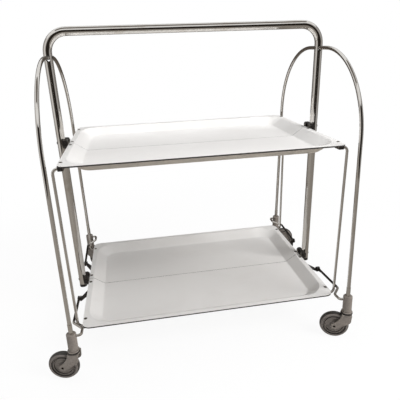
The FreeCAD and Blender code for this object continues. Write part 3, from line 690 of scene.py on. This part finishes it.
# Rubber of the treads, and painted shade on the steps of the wheels' faces
def tyre_and_step_shade_finish():
    colour = colours().tyre
    return finish_material(
        "tyre_rubber_and_step_shade", colour, toned(colour, 1.5), scale=60.0, span=(0.45, 0.75), rough=(0.30, 0.48),
        grain=(1300.0, 0.6), scratch=(90.0, 0.16, 0.75), bump=0.18)


def black_paint():
    colour = colours().black
    return finish_material(
        "black_paint", colour, toned(colour, 2.6), scale=90.0, span=(0.55, 0.75), rough=(0.35, 0.55),
        grain=(1200.0, 0.5), scratch=(90.0, 0.14, 0.8), bump=0.15)


def rivet_finish():
    colour = colours().rivet
    return finish_material(
        "dark_bronze", colour, toned(colour, 2.2), scale=150.0, span=(0.5, 0.75), rough=(0.3, 0.5),
        grain=(1800.0, 0.4), scratch=(150.0, 0.12, 0.7), bump=0.15, metallic=0.8)


class TROLLEY_OT_trays(bpy.types.Operator):
    """Model the tray halves as pressed sheet with a white face, a dark core and a beige back"""
    bl_idname = "trolley.trays"
    bl_label = "Trays"

    def execute(self, context):
        for level in LEVELS:
            for half, y_side in HALVES:
                self.tray_half(level + "_" + half, y_side)
        return {"FINISHED"}

    def outline(self, half_x, half_y, corner, z):
        """A rounded rectangle of edges in the edited mesh, from a plane that reaches 1 each way."""
        bpy.ops.mesh.select_mode(type="VERT")
        bpy.ops.mesh.primitive_plane_add(size=2, location=(0, 0, z))
        bpy.ops.transform.resize(value=(half_x, half_y, 1), center_override=(0, 0, z))
        bpy.ops.mesh.bevel(offset=corner, segments=sizes().corner_steps, affect="VERTICES",
                           profile=ROUND_PROFILE)
        bpy.ops.mesh.delete(type="ONLY_FACE")
        bpy.ops.mesh.select_all(action="DESELECT")

    def tray_half(self, name, y_side):
        """The whole tray as a bent face, cut at the seam and given the sheet's thickness."""
        s = sizes()
        node = name + "_tray"
        low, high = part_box(node)
        end_x = high.x
        end_y = max(abs(low.y), abs(high.y))
        seam_y = y_side * min(abs(low.y), abs(high.y))
        rim_z = high.z
        floor_z = low.z + s.sheet
        lip = s.lip_width
        foot = s.lip_width + s.slope_run

        piece = blank(node + "_sheet")
        self.outline(end_x, end_y, s.lip_corner, rim_z)
        self.outline(end_x - lip, end_y - lip, s.floor_corner + s.slope_run, rim_z)
        self.outline(end_x - foot, end_y - foot, s.floor_corner, floor_z)
        # between the outer outline, corners included, and the lip's inner one
        inner_from = lip / 2 + s.lip_corner / 8

        def inset(co):
            return min(end_x - abs(co.x), end_y - abs(co.y))

        def at_rim(co):
            return abs(co.z - rim_z) < MERGE

        def on_lip(co):
            return at_rim(co) and inset(co) > inner_from

        def on_floor(co):
            return abs(co.z - floor_z) < MERGE

        pick_edges(piece, at_rim)
        bpy.ops.mesh.bridge_edge_loops()
        pick_edges(piece, lambda co: on_lip(co) or on_floor(co))
        bpy.ops.mesh.bridge_edge_loops()
        pick_edges(piece, on_floor)
        bpy.ops.mesh.edge_face_add()
        half_turn = tan(atan2(rim_z - floor_z, s.slope_run) / 2)
        pick_edges(piece, on_lip)
        bpy.ops.mesh.bevel(offset=s.lip_bend * half_turn, segments=LIP_SEGMENTS, affect="EDGES",
                           profile=ROUND_PROFILE)
        pick_edges(piece, on_floor)
        bpy.ops.mesh.bevel(offset=s.floor_bend * half_turn, segments=FLOOR_SEGMENTS, affect="EDGES",
                           profile=ROUND_PROFILE)
        bpy.ops.mesh.select_all(action="SELECT")
        bpy.ops.mesh.remove_doubles(threshold=MERGE)
        bpy.ops.mesh.bisect(plane_co=(0, seam_y, 0), plane_no=(0, y_side, 0), clear_inner=True)
        bpy.ops.mesh.select_all(action="SELECT")
        bpy.ops.mesh.normals_make_consistent(inside=False)
        end_edit()
        floor = max(piece.data.polygons, key=lambda p: p.area)
        if floor.normal.z < 0:
            edit(piece)
            bpy.ops.mesh.select_all(action="SELECT")
            bpy.ops.mesh.flip_normals()
            end_edit()
        paint(piece, tray_face(), tray_back(), tray_core())
        add_modifier(piece, "SOLIDIFY", thickness=s.sheet, offset=-1, use_even_offset=True,
                     material_offset=1, material_offset_rim=2)
        add_modifier(piece, "BEVEL", width=s.sawn_edge, segments=EDGE_SEGMENTS, limit_method="ANGLE",
                     angle_limit=SAWN_ANGLE)
        smooth(piece, MODELLED_SMOOTH)
        settle(piece, name, "tray_laminate", node)


class TROLLEY_OT_tubes(bpy.types.Operator):
    """Finish the handle frame, the legs and the rods in worn chrome, and the links with their black part"""
    bl_idname = "trolley.tubes"
    bl_label = "Chrome tubes"

    def execute(self, context):
        finished("handle_frame", "chrome", chrome())
        for corner in CORNERS:
            finished(corner + "_leg", "chrome", chrome())
            finished(corner + "_rod", "chrome", chrome())
            finished(corner + "_link", "chrome", link_finish())
        return {"FINISHED"}


class TROLLEY_OT_hinges(bpy.types.Operator):
    """Finish the hinges, blocks, pins and rivets of the trays and the plugs of the uprights"""
    bl_idname = "trolley.hinges"
    bl_label = "Tray hinges"

    def execute(self, context):
        edge = sizes().moulded_edge
        for level in LEVELS:
            finished(level + "_hinge_brackets", "black_steel", black_paint(), edge)
            finished(level + "_hinge_pins", "dark_rivet", rivet_finish())
            for half, _ in HALVES:
                name = level + "_" + half
                leaf = "_hinge_leaves" if level == "upper" else "_hinge_arms"
                finished(name + leaf, "black_steel", black_paint(), edge)
                finished(name + "_corner_blocks", "black_plastic", black_paint(), edge)
                finished(name + "_rivets", "dark_rivet", rivet_finish())
        for half, _ in HALVES:
            finished("lower_" + half + "_knee_rivets", "dark_rivet", rivet_finish())
        for node in ("bracket_rivets", "leg_pivot_pins"):
            finished(node, "dark_rivet", rivet_finish())
        finished("upright_end_plugs", "black_plastic", black_paint(), edge)
        return {"FINISHED"}


class TROLLEY_OT_casters(bpy.types.Operator):
    """Model the wheels and finish the sockets, collars, forks and axles"""
    bl_idname = "trolley.casters"
    bl_label = "Casters"

    def execute(self, context):
        edge = sizes().moulded_edge
        for corner in CORNERS:
            finished(corner + "_socket", "grey_plastic", moulding(), edge)
            finished(corner + "_fork", "grey_plastic", moulding(), edge)
            self.collar(corner)
            finished(corner + "_axle", "dark_rivet", rivet_finish(), edge / 2)
        self.wheels()
        return {"FINISHED"}

    def collar(self, corner):
        """Black collar whose upper ring has the socket's grey, as a painted highlight along its top."""
        node = corner + "_collar"
        piece = finished(node, "black_plastic", black_paint())
        piece.data.materials.append(moulding())
        low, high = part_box(node)
        highlight_from = low.z + (high.z - low.z) * sizes().collar_highlight_share
        # Faces above this height are grey: a painted highlight on the collar's top ring
        for face in piece.data.polygons:
            face.material_index = 1 if face.center.z > highlight_from else 0

    def wheels(self):
        """One wheel, turned from its drawn section and coloured ring by ring, with painted shade on the steps
        of its face and painted light on its disc, then copied to each caster.
        """
        s = sizes()
        low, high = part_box("front_left_wheel")
        mm = (high.z - low.z) / 2 / WHEEL_DRAWN_RADIUS
        widest = max(h for _, h in WHEEL_FACE)
        other_face = [(radius, -h) for radius, h in reversed(WHEEL_FACE)]
        profile = WHEEL_FACE + [(WHEEL_DRAWN_RADIUS, 0.0)] + other_face
        profile = [(radius * mm, h * s.hub_width / 2 / widest) for radius, h in profile]
        first = turned("wheel_pattern", profile, s.wheel_steps)
        paint(first, wheel_finish(), tyre_and_step_shade_finish(), lightened_disc_finish())
        for facet in first.data.polygons:
            middle = facet.center.xy.length / mm
            # The tread is dark rubber, and the steps of the face are dark as painted shade
            if any(inner < middle < outer for inner, outer in WHEEL_TREAD_AND_SHADED_STEPS):
                facet.material_index = 1
            # The disc takes its lighter grey, partly painted light
            elif WHEEL_LIGHTENED_DISC_BAND[0] < middle < WHEEL_LIGHTENED_DISC_BAND[1]:
                facet.material_index = 2
        for corner in CORNERS:
            node = corner + "_wheel"
            low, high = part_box(node)
            wheel = own_copy(first, node + "_turned")
            turn = s.outer_turn if corner in OUTER_CASTERS else s.inner_turn
            place(wheel, (radians(90), 0, turn), (low + high) / 2)
            smooth(wheel, MODELLED_SMOOTH)
            settle(wheel, "wheel_" + corner, "wheel_grey", node)
        bpy.data.objects.remove(first)


class TROLLEY_OT_stage(bpy.types.Operator):
    """Set the floor, the light, the mirrored room and the camera"""
    bl_idname = "trolley.stage"
    bl_label = "Studio"

    def execute(self, context):
        self.floor()
        self.world()
        studio = studio_values()
        self.lamp("key_lamp", studio.key_place, studio.key_size, studio.key)
        self.lamp("fill_lamp", studio.fill_place, studio.fill_size, studio.fill)
        self.mirrored_room()
        self.camera()
        return {"FINISHED"}

    def bare_material(self, name):
        """A material with no shader yet; gives it, its nodes and the socket that its shader goes to."""
        material = bpy.data.materials.new(name)
        material.use_nodes = True
        tree = material.node_tree
        tree.nodes.remove(tree.nodes["Principled BSDF"])
        return material, Nodes(tree), tree.nodes["Material Output"].inputs["Surface"]

    def mirrored_room(self):
        """Glowing bands as a floor, a wall and a ceiling that only mirror rays see: painted reflections for
        the chrome to show.
        """
        studio = studio_values()
        height = studio.room_height
        deselect()
        bpy.ops.mesh.primitive_circle_add(vertices=ROOM_STEPS, radius=studio.room_floor_reach,
                                          fill_type="NGON", location=(0, 0, ROOM_FLOOR_RISE))
        self.mirrored_only("mirrored_floor", ROOM_FLOOR_TONES, studio.room_floor)
        deselect()
        bpy.ops.mesh.primitive_cylinder_add(vertices=ROOM_STEPS, radius=studio.room_reach, depth=height,
                                            end_fill_type="NOTHING",
                                            location=(0, 0, studio.room_foot + height / 2))
        self.mirrored_only("mirrored_wall", ROOM_WALL_TONES, studio.room)
        deselect()
        bpy.ops.mesh.primitive_plane_add(size=1, location=studio.ceiling_place)
        bpy.context.object.scale = studio.ceiling_size
        self.mirrored_only("mirrored_ceiling", ROOM_CEILING_TONES, studio.room)

    def mirrored_only(self, name, tones, light):
        """The last made mesh, seen by glossy rays alone, with glowing tones that go round the trolley as
        painted reflections.
        """
        piece = bpy.context.object
        piece.name = name
        piece.visible_camera = False
        piece.visible_diffuse = False
        piece.visible_transmission = False
        piece.visible_shadow = False
        material, nodes, surface = self.bare_material(name)
        place_in = nodes.add("ShaderNodeTexCoord")
        round_about = nodes.add("ShaderNodeTexGradient", gradient_type="RADIAL")
        ramp = nodes.add("ShaderNodeValToRGB")
        dark = studio_values().room_dark
        stops = ramp.color_ramp.elements
        while len(stops) < len(tones):
            stops.new(0.5)
        for stop, (position, tone) in zip(stops, tones):
            stop.position = position
            share = min(1, tone / ROOM_LIGHT_FROM)
            tint = [d + (v - d) * share for d, v in zip(dark, light)]
            stop.color = [tone * tint[0], tone * tint[1], tone * tint[2], 1]
        glow = nodes.add("ShaderNodeEmission")
        nodes.link(place_in.outputs["Object"], round_about.inputs["Vector"])
        nodes.link(round_about.outputs["Fac"], ramp.inputs["Fac"])
        nodes.link(ramp.outputs["Color"], glow.inputs["Color"])
        nodes.link(glow.outputs["Emission"], surface)
        paint(piece, material)

    def seen_directly(self, nodes):
        """Factor that is 1 for the rays that show the background: camera, glossy and transmission."""
        path = nodes.add("ShaderNodeLightPath")
        first = nodes.add("ShaderNodeMath", operation="MAXIMUM")
        second = nodes.add("ShaderNodeMath", operation="MAXIMUM")
        nodes.link(path.outputs["Is Camera Ray"], first.inputs[0])
        nodes.link(path.outputs["Is Glossy Ray"], first.inputs[1])
        nodes.link(first.outputs["Value"], second.inputs[0])
        nodes.link(path.outputs["Is Transmission Ray"], second.inputs[1])
        return second

    def floor(self):
        """A matt floor that shows as white, less a small share near the trolley that takes its shadow."""
        studio = studio_values()
        deselect()
        bpy.ops.mesh.primitive_plane_add(size=studio.floor_size, location=(0, 0, 0))
        floor = bpy.context.object
        floor.name = "studio_floor"
        material, nodes, surface = self.bare_material("studio_floor")
        matt = nodes.add("ShaderNodeBsdfDiffuse")
        matt.inputs["Color"].default_value = studio.floor_tone
        white = nodes.add("ShaderNodeEmission")
        mix = nodes.add("ShaderNodeMixShader")
        place_in = nodes.add("ShaderNodeTexCoord")
        away = nodes.add("ShaderNodeVectorMath", operation="LENGTH")
        whiter = nodes.add("ShaderNodeMapRange", interpolation_type="SMOOTHSTEP")
        nodes.put(whiter, From_Min=FLOOR_NEAR, From_Max=FLOOR_FAR, To_Min=FLOOR_NEAR_WHITE,
                  To_Max=FLOOR_FAR_WHITE)
        nodes.link(place_in.outputs["Object"], away.inputs[0])
        nodes.link(away.outputs["Value"], whiter.inputs["Value"])
        share = nodes.add("ShaderNodeMath", operation="MULTIPLY")
        nodes.link(whiter.outputs["Result"], share.inputs[1])
        nodes.link(self.seen_directly(nodes).outputs["Value"], share.inputs[0])
        nodes.link(share.outputs["Value"], mix.inputs["Fac"])
        nodes.link(matt.outputs["BSDF"], mix.inputs[1])
        nodes.link(white.outputs["Emission"], mix.inputs[2])
        nodes.link(mix.outputs["Shader"], surface)
        paint(floor, material)

    def world(self):
        """Even light from all round that shows as white."""
        world = bpy.data.worlds.new("studio")
        bpy.context.scene.world = world
        world.use_nodes = True
        nodes = Nodes(world.node_tree)
        light = world.node_tree.nodes["Background"]
        nodes.put(light, Color=WHITE, Strength=studio_values().sky)
        white = nodes.add("ShaderNodeBackground")
        nodes.put(white, Color=WHITE, Strength=1.0)
        mix = nodes.add("ShaderNodeMixShader")
        nodes.link(self.seen_directly(nodes).outputs["Value"], mix.inputs["Fac"])
        nodes.link(light.outputs["Background"], mix.inputs[1])
        nodes.link(white.outputs["Background"], mix.inputs[2])
        nodes.link(mix.outputs["Shader"], world.node_tree.nodes["World Output"].inputs["Surface"])

    def lamp(self, name, spot, size, power):
        """Soft square lamp aimed at the middle of the trolley, with no mirror image in the chrome."""
        deselect()
        bpy.ops.object.light_add(type="AREA", location=spot)
        lamp = bpy.context.object
        lamp.name = name
        lamp.data.size = size
        lamp.data.energy = power
        lamp.visible_glossy = False
        lamp.rotation_euler = (Vector(LAMP_TARGET) - Vector(spot)).to_track_quat("-Z", "Y").to_euler()

    def camera(self):
        """The photograph's camera, from its place, yaw, pitch and roll."""
        studio = studio_values()
        yaw = studio.camera_yaw
        pitch = studio.camera_pitch
        roll = studio.camera_roll
        ahead = Vector((sin(yaw) * cos(pitch), cos(yaw) * cos(pitch), -sin(pitch)))
        level_right = Vector((cos(yaw), -sin(yaw), 0))
        level_up = level_right.cross(ahead)
        right = level_right * cos(roll) + level_up * sin(roll)
        up = level_up * cos(roll) - level_right * sin(roll)
        data = bpy.data.cameras.new("photo_camera")
        data.sensor_width = SENSOR_WIDTH
        data.lens = studio.focal
        data.clip_start = CLIP_START
        camera = bpy.data.objects.new("photo_camera", data)
        bpy.context.scene.collection.objects.link(camera)
        turn = Matrix((right, up, -ahead)).transposed().to_4x4()
        camera.matrix_world = Matrix.Translation(studio.camera_place) @ turn
        bpy.context.scene.camera = camera
        bpy.context.scene.view_settings.view_transform = "Standard"


class TROLLEY_PT_panel(bpy.types.Panel):
    """Sidebar panel with the trolley's steps and settings"""
    bl_idname = "TROLLEY_PT_panel"
    bl_label = "Trolley"
    bl_space_type = "VIEW_3D"
    bl_region_type = "UI"
    bl_category = "Trolley"

    def draw(self, context):
        layout = self.layout
        for step in STEPS:
            layout.operator(step.bl_idname)
        for settings in (sizes(), colours(), studio_values()):
            box = layout.box()
            for key in settings.bl_rna.properties.keys():
                if key not in ("rna_type", "name"):
                    box.prop(settings, key)


STEPS = (TROLLEY_OT_trays, TROLLEY_OT_tubes, TROLLEY_OT_hinges, TROLLEY_OT_casters, TROLLEY_OT_stage)
CLASSES = (TrolleySizes, TrolleyColours, TrolleyStudio) + STEPS + (TROLLEY_PT_panel,)


def register():
    for item in CLASSES:
        bpy.utils.register_class(item)
    bpy.types.Scene.trolley_sizes = bpy.props.PointerProperty(type=TrolleySizes)
    bpy.types.Scene.trolley_colours = bpy.props.PointerProperty(type=TrolleyColours)
    bpy.types.Scene.trolley_studio = bpy.props.PointerProperty(type=TrolleyStudio)


def unregister():
    del bpy.types.Scene.trolley_studio
    del bpy.types.Scene.trolley_colours
    del bpy.types.Scene.trolley_sizes
    for item in reversed(CLASSES):
        bpy.utils.unregister_class(item)


def main():
    register()
    bpy.ops.trolley.trays()
    bpy.ops.trolley.tubes()
    bpy.ops.trolley.hinges()
    bpy.ops.trolley.casters()
    bpy.ops.trolley.stage()


if __name__ == "__main__":
    main()
